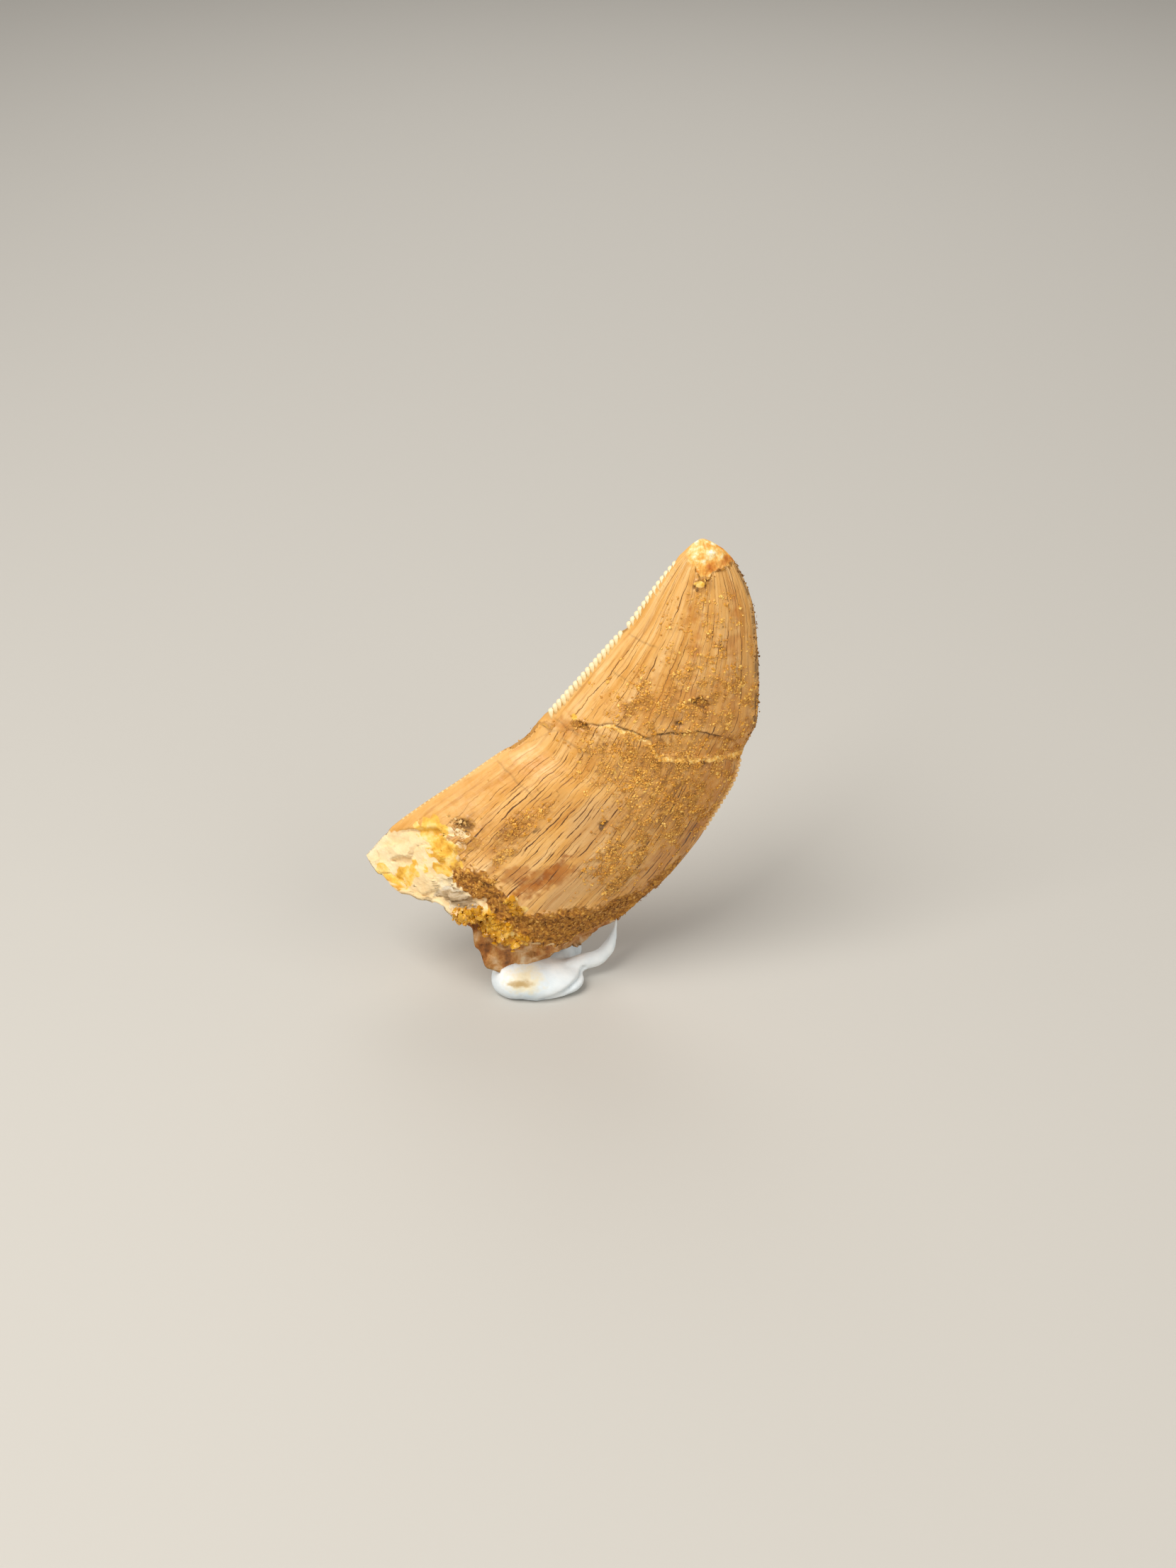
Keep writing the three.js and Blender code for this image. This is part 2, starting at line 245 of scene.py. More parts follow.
# where things lie on the front face: lines as (across, rise), patches as (across, rise, wide, tall, strength)
marks = {
    "enamelEdge": [(0, 0.08), (0.1, 0.165), (0.22, 0.14), (0.28, 0.105), (0.37, 0.112), (0.52, 0.09),
                   (0.65, 0.105), (0.81, 0.125), (0.93, 0.18), (1, 0.2)],
    "crustFoot": [(0, 0.12), (0.25, 0.098), (0.31, 0.07), (0.42, 0.072), (0.54, 0.066), (0.87, 0.06),
                  (1, 0.1)],
    "crackLine": [(0, 0.43), (0.09, 0.5), (0.2, 0.547), (0.28, 0.563), (0.37, 0.563), (0.48, 0.556),
                  (0.57, 0.529), (0.7, 0.533), (1, 0.546)],
    "chipTop": [(0.46, 0.556), (0.5, 0.57), (0.58, 0.58), (0.71, 0.592), (0.86, 0.58), (1, 0.556)],
    "wearLine": [(0, 0.99), (0.2, 0.965), (0.32, 0.945), (0.4, 0.925), (0.46, 0.911), (0.55, 0.912),
                 (0.64, 0.925), (0.72, 0.931), (1, 0.936)],
    "stubAcross": (0.44, 0.5),
    "stubRise": (0.03, 0.052),
    "stubTop": [(0, -0.05), (0.4, -0.03), (0.5, 0.018), (0.6, 0.04), (0.7, 0.056), (0.9, 0.068),
                (1, 0.1)],
    "pits": [(0.62, 0.652, 0.4, 0.3), (0.675, 0.648, 0.55, 0.42), (0.645, 0.657, 0.45, 0.36),
             (0.573, 0.603, 0.4, 0.3), (0.4, 0.892, 0.3, 0.2), (0.53, 0.896, 0.3, 0.2),
             (0.8, 0.523, 0.4, 0.25), (0.145, 0.205, 0.6, 0.35), (0.54, 0.345, 0.3, 0.2),
             (0.17, 0.535, 0.4, 0.3)],
    "crazing": [(0.05, 0.29, 0.758, 0.75), (0.1, 0.25, 0.67, 0.66), (0.0, 0.24, 0.368, 0.342),
                (0.02, 0.2, 0.52, 0.512), (0.1, 0.3, 0.49, 0.487)],
    "upperHairlines": [-0.05, 0.0, 0.05, 0.115, 0.16, 0.205, 0.235, 0.3, 0.38, 0.455, 0.53, 0.585, 0.635,
                       0.7, 0.765, 0.82, 0.875, 0.93, 0.98, 1.03],
    "lowerHairlines": [-0.12, -0.08, -0.05, -0.02, 0.02, 0.06, 0.1, 0.13, 0.16, 0.19, 0.215, 0.245, 0.28,
                       0.31, 0.345, 0.375, 0.41, 0.435, 0.465, 0.5, 0.53, 0.56, 0.59, 0.62, 0.645, 0.675,
                       0.71, 0.745, 0.78, 0.815, 0.85, 0.885, 0.92, 0.95, 0.98, 1.02, 1.05, 1.09, 1.13,
                       1.17],
    "crustPatches": [(0.15, 0.205, 0.05, 0.02, 0.45), (0.22, 0.17, 0.04, 0.03, 0.45),
                     (0.28, 0.26, 0.04, 0.06, 0.42), (0.04, 0.497, 0.05, 0.01, 0.45),
                     (0.15, 0.535, 0.05, 0.01, 0.6), (0.004, 0.45, 0.012, 0.06, 0.5),
                     (0.97, 0.24, 0.04, 0.06, 0.6), (0.46, 0.9, 0.1, 0.014, 0.45)],
    "crystalPatches": [(0.43, 0.022, 0.05, 0.022, 1), (0.5, 0.042, 0.06, 0.024, 1),
                       (0.58, 0.056, 0.06, 0.02, 1), (0.66, 0.064, 0.05, 0.014, 0.9),
                       (0.53, 0.107, 0.04, 0.01, 0.8)],
    "rustPatches": [(0.545, 0.2, 0.055, 0.055, 1), (0.52, 0.165, 0.05, 0.04, 0.9),
                    (0.43, 0.165, 0.05, 0.035, 0.7), (0.36, 0.155, 0.03, 0.03, 0.5)],
    "stainPatches": [(0.29, 0.18, 0.05, 0.05, 0.4), (0.44, 0.84, 0.08, 0.035, 0.9),
                     (0.85, 0.84, 0.07, 0.07, 0.9), (0.52, 0.77, 0.06, 0.05, 0.7),
                     (0.62, 0.81, 0.05, 0.06, 0.6), (0.8, 0.77, 0.08, 0.05, 0.7),
                     (0.36, 0.88, 0.05, 0.04, 0.6), (0.5, 0.66, 0.22, 0.06, 0.6),
                     (0.8, 0.66, 0.16, 0.08, 0.8), (0.3, 0.6, 0.12, 0.03, 0.6),
                     (0.12, 0.52, 0.1, 0.03, 0.8), (0.05, 0.27, 0.06, 0.05, 0.3),
                     (0.9, 0.5, 0.12, 0.2, 0.7), (0.88, 0.3, 0.1, 0.12, 0.5)],
    "darkPatches": [(0.715, 0.785, 0.012, 0.035, 0.7), (0.42, 0.4, 0.02, 0.02, 0.4),
                    (0.8, 0.523, 0.025, 0.008, 0.6), (0.54, 0.345, 0.014, 0.022, 0.7),
                    (0.86, 0.43, 0.02, 0.01, 0.5), (0.18, 0.005, 0.07, 0.008, 0.55),
                    (0.27, 0.0, 0.03, 0.01, 0.5), (0.13, 0.205, 0.02, 0.012, 0.7),
                    (0.345, 0.29, 0.008, 0.03, 0.6), (0.305, 0.135, 0.015, 0.012, 0.4),
                    (0.44, 0.65, 0.03, 0.02, 0.25), (0.43, 0.89, 0.03, 0.006, 0.6)],
    "yellowPatches": [(0.09, 0.15, 0.05, 0.035, 1), (0.16, 0.135, 0.07, 0.03, 1),
                      (0.23, 0.11, 0.05, 0.025, 1), (0.15, 0.045, 0.04, 0.05, 0.9),
                      (0.1, 0.01, 0.08, 0.015, 0.8), (0.25, 0.092, 0.04, 0.01, 0.8),
                      (0.11, 0.543, 0.02, 0.01, 1), (0.46, 0.9, 0.075, 0.0065, 1),
                      (0.53, 0.107, 0.05, 0.012, 0.8)],
    # brown patches; those on the right side of the face are painted shade for the side turned from the light
    "brownAndShadePatches": [(0.95, 0.4, 0.12, 0.25, 1), (0.75, 0.44, 0.25, 0.12, 0.85),
                     (0.95, 0.65, 0.1, 0.2, 0.4), (0.55, 0.5, 0.32, 0.07, 0.85),
                     (0.29, 0.26, 0.08, 0.1, 1), (0.8, 0.565, 0.2, 0.03, 1),
                     (0.55, 0.62, 0.25, 0.06, 0.55), (0.18, 0.2, 0.09, 0.06, 0.9),
                     (0.5, 0.9, 0.14, 0.02, 0.9)],
    "hairlineHalf": (0.052, 0.1),  # above and below the crack, in shares of the gap between two lines
    "ledgePatches": [(0.36, 0.04, 0.1, 0.03, 1)],
    "smoothPatches": [(0.31, 0.18, 0.07, 0.05, 1), (0.66, 0.17, 0.09, 0.045, 1),
                      (0.06, 0.32, 0.06, 0.12, 0.6), (0.14, 0.27, 0.06, 0.05, 0.6)],
    "flakedPatches": [(0.17, 0.185, 0.03, 0.013, 1), (0.135, 0.172, 0.025, 0.01, 1),
                      (0.2, 0.163, 0.02, 0.008, 1)],
    "crumbPatches": [(0.43, 0.02, 0.035, 0.014, 1), (0.13, 0.195, 0.04, 0.016, 1),
                     (0.19, 0.18, 0.03, 0.018, 0.7)],
    "blushPatches": [(0.66, 0.2, 0.1, 0.1, 1), (0.5, 0.36, 0.14, 0.14, 0.8),
                     (0.36, 0.33, 0.08, 0.12, 0.5)],
    "sandPatches": [(0.55, 0.5, 0.4, 0.08, 1), (0.75, 0.42, 0.25, 0.13, 0.85),
                    (0.72, 0.3, 0.12, 0.12, 0.95), (0.79, 0.23, 0.08, 0.06, 0.8),
                    (0.65, 0.66, 0.42, 0.13, 0.55), (0.9, 0.5, 0.15, 0.2, 0.55),
                    (0.4, 0.61, 0.25, 0.05, 0.6), (0.55, 0.82, 0.35, 0.1, 0.25),
                    (0.29, 0.27, 0.06, 0.09, 0.75), (0.34, 0.2, 0.03, 0.06, 0.7),
                    (0.655, 0.652, 0.06, 0.03, 0.8)],
}

# heights and depths of the relief, in millimetres
carving = {
    "ribs": 0.06,
    "enamelStep": 0.42,
    "dentineFacets": 0.45,
    "crust": 0.15,
    "crystals": 0.45,
    "chip": 0.2,
    "crack": 0.22,
    "split": 0.3,
    "crackLip": 0.15,
}

toPlane = Matrix.Translation((0, crown["planeDepth"] * mm, 0)) @ Matrix.Rotation(-crown["leanBack"], 4, "X")
distalCurve = edgeCurve(crown["distalEdge"])
mesialCurve = edgeCurve(crown["mesialEdge"])
baseLine = np.array(crown["mesialEdge"][0]) - np.array(crown["distalEdge"][0])
rootward = np.array([baseLine[1], -baseLine[0]]) / np.linalg.norm(baseLine)


def crownPoint(rise, across, back):  # points in the tooth's own plane: x, depth, up
    distal, mesial = distalCurve(rise), mesialCurve(rise)
    chord = (mesial - distal) / np.linalg.norm(mesial - distal, axis=1)[:, None]
    place = distal + (mesial - distal) * across[:, None]
    inset = eased(crown["distalInset"], rise) * np.clip(1 - across / crown["insetReach"], 0, 1) ** 2
    inset -= eased(crown["mesialInset"], rise) * np.clip(1 - (1 - across) / crown["insetReach"], 0, 1) ** 2
    place = place + chord * inset[:, None]
    fade = np.maximum(0, 1 - rise / crown["rimReach"]) ** 2
    rim = np.where(back, eased(crown["backRim"], across), eased(crown["frontRim"], across))
    place = place + rootward * (rim * fade)[:, None]
    deep = crown["baseThickness"] + (crown["tipThickness"] - crown["baseThickness"]) * rise ** crown["taper"]
    half = deep * np.where(back, 1 - crown["frontShare"], crown["frontShare"])
    lens = 1 - np.abs(2 * across - 1) ** crown["lensPower"]
    return np.column_stack([place[:, 0], np.where(back, 1, -1) * half * lens, place[:, 1]])


def toWorld(points):  # from the tooth's plane, in millimetres, to the frame, in metres
    return points * mm @ np.array(toPlane.to_3x3()).T + np.array(toPlane.translation)


def toothMesh():
    columns = crown["frontColumns"] + crown["backColumns"]
    bm = bmesh.new()
    bmesh.ops.create_uvsphere(bm, u_segments=columns, v_segments=crown["rows"], radius=1)
    mesh = bpy.data.meshes.new("tooth")
    bm.to_mesh(mesh)
    bm.free()

    # each point's row and column on the ball say where it goes on the tooth
    ball = np.empty(len(mesh.vertices) * 3, np.float32)
    mesh.vertices.foreach_get("co", ball)
    ball = ball.reshape(-1, 3).astype(float)
    row = np.rint((1 - np.arccos(np.clip(ball[:, 2], -1, 1)) / math.pi) * crown["rows"])
    column = np.rint(np.arctan2(ball[:, 1], ball[:, 0]) / (2 * math.pi) * columns) % columns
    back = column > crown["frontColumns"]
    turn = np.where(back, (columns - column) / crown["backColumns"], column / crown["frontColumns"])
    across = 0.5 * turn + 0.25 * (1 - np.cos(math.pi * turn))
    body = crown["rows"] - crown["capRows"] - crown["tipRows"]
    rise = np.clip((row - crown["capRows"]) / body, 0, 1)
    cap = np.clip((crown["capRows"] - row) / crown["capRows"], 0, 1)
    dome = np.clip((row - crown["rows"] + crown["tipRows"]) / crown["tipRows"], 0, 1)

    rise = rise * crown["domeRise"]
    points = crownPoint(rise, across, back)
    middle = crownPoint(np.zeros(1), np.full(1, 0.5), np.zeros(1, bool))[0] * (1, 0, 1)
    pitTop = middle - np.array([rootward[0], 0, rootward[1]]) * crown["hollow"]
    points += (pitTop - points) * cap[:, None] ** 0.8
    ring = np.full(1, crown["domeRise"])
    tipCentre = np.insert((distalCurve(ring)[0] + mesialCurve(ring)[0]) / 2, 1, 0)
    tipTop = np.insert(np.array(crown["tipPoint"]), 1, 0)
    narrow = 1 - dome[:, None]
    lifted = (tipTop - tipCentre) * (1 - narrow ** crown["domePower"])
    domed = tipCentre + (points - tipCentre) * narrow + lifted
    points = np.where(dome[:, None] > 0, domed, points)
    rise = rise + (1 - rise) * dome

    front = ~back
    stub = front * (1 - smooth(*marks["stubRise"], rise)) * smooth(*marks["stubAcross"], across) * (1 - cap)
    points[:, 1] += stub * crown["stubDepth"]

    # relief, in millimetres along the surface's own direction
    coarse = roughness(points, 0.35)
    fine = roughness(points, 1.3, 4)
    gritty = roughness(points + 40, 2.6, 3)
    sheet = np.where(back, 3.0, 0.0)
    ribs = roughness(np.column_stack([across * 9, rise * 1.6, sheet]), 1.0, 3)
    sway = roughness(np.column_stack([across * 5, rise * 9, sheet]), 1.0, 2)
    edge = eased(marks["enamelEdge"], across) + 0.014 * coarse + 0.008 * fine
    bare = smooth(-0.003, 0.008, edge - rise)
    bare = np.maximum(bare, front * spots(marks["flakedPatches"], across, rise, 0.5 * fine))
    foot = eased(marks["crustFoot"], across) + 0.012 * fine
    fadeOut = 0.024 + 0.03 * smooth(0.6, 0.75, across)
    crustTop = 1 - smooth(0.0, 1.0, (rise - edge + 0.012 * gritty) / fadeOut)
    crust = smooth(-0.008, 0.008, rise - foot) * crustTop
    crust *= smooth(0.2, 0.3, across + 0.03 * fine)
    crust = np.maximum(crust, front * spots(marks["crustPatches"], across, rise, 0.6 * fine))
    crust *= cap < 0.02
    stubTone = 1 - smooth(0, 0.012, rise - eased(marks["stubTop"], across) + 0.006 * fine)
    crystal = front * spots(marks["crystalPatches"], across, rise, 0.3 * fine) * (cap < 0.02)
    wearGap = (rise - eased(marks["wearLine"], across) - 0.004 * fine) * crown["length"]
    loose = 1 - smooth(0.22, 0.42, across)
    wear = smooth(-0.08 - 2.5 * loose, 0.25 + 0.8 * loose, wearGap)
    wearEdge = np.exp(-(((wearGap + 0.05) / 0.16) ** 2)) * smooth(0.3, 0.38, across)
    crust = np.maximum(crust, front * 0.8 * wearEdge * smooth(-0.4, 0.2, gritty) * (cap < 0.02))
    crackGap = (rise - eased(marks["crackLine"], across)) * crown["length"] + 0.12 * fine + 0.08 * gritty
    chipGap = (rise - eased(marks["chipTop"], across)) * crown["length"] + 0.12 * fine
    chip = front * smooth(0, 0.12, crackGap) * (1 - smooth(-0.1, 0.05, chipGap)) * (across > 0.46)
    crackReach = np.where(back, 0.6, 0.25 + 0.75 * smooth(0.16, 0.21, across))
    crackLine = np.exp(-((crackGap / 0.1) ** 2)) * crackReach
    splitLine = front * np.exp(-((chipGap / 0.08) ** 2)) * smooth(0.48, 0.52, across)
    splitLine *= 1 - smooth(0.8, 0.87, across)
    splitLine *= 1 - 0.9 * np.exp(-(((across - 0.665) / 0.03) ** 2))
    pit = np.zeros(len(rise))
    for a, r, size, depth in marks["pits"]:
        aside = (across - a) * crown["width"] * 0.75
        reach = np.hypot(aside, (rise - r) * crown["length"]) / size + 0.5 * fine
        pit = np.maximum(pit, front * depth * (1 - smooth(0.4, 1.2, reach)))
    craze = np.zeros(len(rise))
    for start, end, first, last in marks["crazing"]:
        gap = rise - first - (last - first) * (across - start) / (end - start) - 0.003 * fine
        inside = smooth(start, start + 0.04, across) * (1 - smooth(end - 0.04, end, across))
        craze = np.maximum(craze, front * inside * np.exp(-((gap * crown["length"] / 0.09) ** 2)))

    broken = np.zeros(len(rise))
    opened = (bare > 0) & (cap < 0.5) & (crystal == 0)
    broken[opened] = facets(points[opened] * (1, 1, 1.6), 0.42)
    relief = carving["ribs"] * ribs + 0.02 * fine
    relief -= bare * (carving["enamelStep"] + 0.12 * fine) * (1 - 0.7 * stub)
    uncovered = bare * (1 - crust) * (1 - 0.5 * stub) * (crystal == 0) * (rise > 0)
    relief += uncovered * carving["dentineFacets"] * broken
    lumpy = crust > 0
    broken[lumpy] = facets(points[lumpy], 1.5)
    relief += crust * (carving["crust"] + 0.2 * fine + 0.16 * broken + 0.18 * gritty)
    grown = crystal > 0
    broken[grown] = facets(points[grown], 1.2)
    relief += crystal * (carving["crystals"] + 0.4 * broken + 0.25 * gritty)
    relief -= wear * (0.02 + 0.08 * fine + 0.05 * gritty) * (1 - dome)
    relief -= carving["chip"] * chip + carving["crack"] * crackLine * (across < 0.52)
    relief -= carving["split"] * splitLine + pit + 0.1 * wearEdge
    relief += front * carving["crackLip"] * np.exp(-(((crackGap + 0.35) / 0.3) ** 2)) * (across > 0.5)
    relief *= 1 - cap
    relief += cap * 0.3 * fine
    edgeFade = smooth(0, 0.035, across) * smooth(0, 0.03, 1 - across)
    relief *= 0.25 + 0.75 * edgeFade

    mesh.vertices.foreach_set("co", toWorld(points).astype(np.float32).ravel())
    mesh.update()
    normals = np.empty(len(mesh.vertices) * 3, np.float32)
    mesh.vertex_normals.foreach_get("vector", normals)
    normals = normals.reshape(-1, 3).astype(float)
    places = toWorld(points) + normals * relief[:, None] * mm
    mesh.vertices.foreach_set("co", places.astype(np.float32).ravel())
    mesh.shade_smooth()
    mesh.update()

    # what the material reads
    wobble = 0.6 * fine + 0.25 * coarse
    stain = front * spots(marks["stainPatches"], across, rise, wobble, 0.1, 1.4)
    rust = front * spots(marks["rustPatches"], across, rise, wobble, 0.6, 1.15)
    smudge = front * spots(marks["darkPatches"], across, rise, 0.9 * fine, 0.2, 1.2)
    yellow = front * spots(marks["yellowPatches"], across, rise, wobble)
    crust = crust * (1 - 0.9 * yellow * (rise > 0.8))
    # brown tone, with painted shade on the right side of the front; the back is browned evenly
    frontBrownAndShade = spots(marks["brownAndShadePatches"], across, rise, 0.3 * coarse, 0.1, 1.4)
    brownAndShade = np.where(back, 0.45 + 0.3 * coarse, frontBrownAndShade)
    blush = front * spots(marks["blushPatches"], across, rise, 0.4 * coarse, 0.2, 1.3)
    sand = np.where(back, 0.1, spots(marks["sandPatches"], across, rise, 0.35 * fine, 0.4, 1.3))
    sand *= 0.3 + 0.7 * smooth(-0.25, 0.35, roughness(points + 80, 0.8, 2))
    # painted shade between the denticles: the enamel showing between the beads along the distal edge is
    # darkened
    denticleGapShade = front * (1 - smooth(0.015, 0.04, across)) * smooth(0.5, 0.54, rise)
    denticleGapShade *= 1 - smooth(0.92, 0.95, rise)
    mesialDirt = 0.5 * smooth(0.95, 0.98, across) * smooth(0.55, 0.6, rise) * (1 - smooth(0.92, 0.95, rise))
    mesialDirt *= smooth(-0.3, 0.3, fine)
    openCrack = crackLine * (1 - smooth(0.45, 0.55, across)) * (0.55 + 0.6 * fine)
    dark = np.maximum.reduce([openCrack, splitLine, 2.2 * pit * (0.7 + fine), 0.3 * craze, 0.15 * wearEdge,
                              0.4 * denticleGapShade, mesialDirt])
    wear = wear * (1 - 0.75 * brownAndShade)
    # pale band under the crack: partly the broken edge's own colour, partly a painted highlight where the
    # raised lip faces up
    pale = np.exp(-(((crackGap + 0.22) / 0.24) ** 2)) * smooth(0.18, 0.26, across) * (0.8 + 0.8 * gritty)
    bare = np.maximum(bare, cap > 0)
    ledge = front * spots(marks["ledgePatches"], across, rise, 0.3 * fine)
    upper = crackGap > 0
    lists = [marks[name] for name in ("upperHairlines", "lowerHairlines")]
    sheared = across + 0.18 * (rise - 0.45)
    phases = [np.interp(place + 0.012 * sway, spread, np.arange(len(spread)))
              for place, spread in zip((across, sheared), lists)]
    half = np.where(upper, *marks["hairlineHalf"])
    half *= 1 - 0.85 * spots(marks["smoothPatches"], across, rise, wobble)
    hair = np.column_stack([np.where(upper, *phases), half, np.where(upper, 0.0, 1.0)])
    still = np.ones(len(rise))
    for name, channels in (("regionsA", (bare, crust, stain)), ("regionsB", (yellow, wear, dark)),
                           ("regionsC", (pale, sand, brownAndShade)), ("regionsD", (stubTone, ledge, blush)),
                           ("regionsE", (crystal, rust, smudge))):
        made = mesh.attributes.new(name, "FLOAT_COLOR", "POINT")
        shares = np.column_stack([*channels, still]).clip(0, 1)
        made.data.foreach_set("color", shares.astype(np.float32).ravel())
    flow = np.column_stack([across * crown["width"], rise * crown["length"], points[:, 1] * 0.5])
    for name, values in (("grain", flow), ("hairlines", hair)):
        made = mesh.attributes.new(name, "FLOAT_VECTOR", "POINT")
        made.data.foreach_set("vector", values.astype(np.float32).ravel())
    crumb = front * spots(marks["crumbPatches"], across, rise, 0.4 * fine)
    fields = {"crumb": crumb, "rise": rise, "across": across, "front": front, "crust": crust, "sand": sand,
              "bare": bare, "crystal": crystal, "cap": cap, "places": places, "normals": normals}
    return mesh, fields


enamel = {
    "streaks": [(0.3, "#cb8636"), (0.42, "#dc9f4c"), (0.54, "#e7b062"), (0.68, "#f0c17e"), (0.85, "#f7d9a6")],
    "brownAndShadeTone": [(0.36, "#7d4a12"), (0.5, "#b8792a"), (0.64, "#dc9f48")],
    "blush": [(0.3, "#cb9655"), (0.6, "#e2b578"), (0.8, "#edca98")],
    "thread": "#b4752f",
    "hairline": [(0.15, "#a86e2c"), (0.5, "#80501f"), (0.85, "#583516")],
    "stain": [(0.35, "#9c570a"), (0.52, "#c27722"), (0.72, "#db9a44")],
    "rust": [(0.35, "#8c4a08"), (0.52, "#ae6519"), (0.72, "#ca873a")],
    "dust": [(0.36, "#7c4e18"), (0.48, "#a8722b"), (0.58, "#cf963a"), (0.68, "#f2c768")],
    "dentine": [(0.25, "#d9b47c"), (0.42, "#f0d09a"), (0.58, "#fae2b4"), (0.75, "#fff6df")],
    "ledge": [(0.32, "#7e6544"), (0.46, "#b89e78"), (0.6, "#e0d0b4"), (0.72, "#f5ecdc")],
    "yellow": [(0.3, "#d2901f"), (0.48, "#f2bf4a"), (0.68, "#fce09a")],
    "crust": [(0.32, "#5c370d"), (0.44, "#9a6220"), (0.55, "#c2842e"), (0.7, "#eab655")],
    "crystal": [(0.3, "#9c5e08"), (0.42, "#d08d14"), (0.55, "#ecb030"), (0.74, "#fbe09a")],
    "stub": [(0.36, "#75471b"), (0.44, "#ad6d2e"), (0.51, "#c68f4e"), (0.57, "#d9ae7e"), (0.66, "#f0dcb8")],
    "worn": [(0.32, "#c4701f"), (0.43, "#e5983c"), (0.51, "#f6be60"), (0.58, "#fde3a4"), (0.66, "#fffdf2")],
    "brokenEdgeAndHighlight": [(0.36, "#d9962f"), (0.5, "#f2bd5c"), (0.64, "#fddc94")],
    # dark colour for cracks, pits, crazing and dirt, and for the painted shade between the denticles
    "crack": "#2e1a0a",
}


def hairlineMask(tree, grain, shift, seed, rare):  # dark cracks along the tooth, each broken off by itself
    hair = tree.nodes.new("ShaderNodeSeparateXYZ")
    tree.links.new(named(tree, "hairlines"), hair.inputs[0])
    phase = maths(tree, "ADD", hair.outputs[0], shift)
    half, lower = hair.outputs[1:]
    line = maths(tree, "ROUND", phase)
    run = tree.nodes.new("ShaderNodeSeparateXYZ")
    tree.links.new(grain, run.inputs[0])

    def alongLine(rate, place, detail):
        spread = tree.nodes.new("ShaderNodeCombineXYZ")
        tree.links.new(maths(tree, "MULTIPLY", line, 5.17), spread.inputs[0])
        tree.links.new(maths(tree, "MULTIPLY", run.outputs[1], rate), spread.inputs[1])
        spread.inputs[2].default_value = seed + place
        return grainNoise(tree, spread.outputs[0], 1.0, detail, 0.6)

    wander = maths(tree, "MULTIPLY", maths(tree, "SUBTRACT", alongLine(0.45, 3.3, 3), 0.5), 0.75)
    off = maths(tree, "ABSOLUTE", maths(tree, "SUBTRACT", maths(tree, "SUBTRACT", phase, line), wander))
    dash = alongLine(maths(tree, "ADD", 0.18, maths(tree, "MULTIPLY", lower, 0.12)), 8.1, 4)
    shown = ranged(tree, dash, 0.36 + rare, 0.57 + rare)
    shown = maths(tree, "MULTIPLY", shown, ranged(tree, alongLine(0.06, 11.7, 1), 0.35, 0.6, 0.62, 1))
    thick = ranged(tree, alongLine(0.4, 5.7, 4), 0.38, 0.7, 0.35, 1.5)
    near = maths(tree, "DIVIDE", off, maths(tree, "MULTIPLY", half, thick))
    shown = maths(tree, "MULTIPLY", shown, ranged(tree, run.outputs[0], 0.4, 3.0, 0.25, 1))
    return maths(tree, "MULTIPLY", ranged(tree, near, 0.3, 1.2, 1, 0), shown)


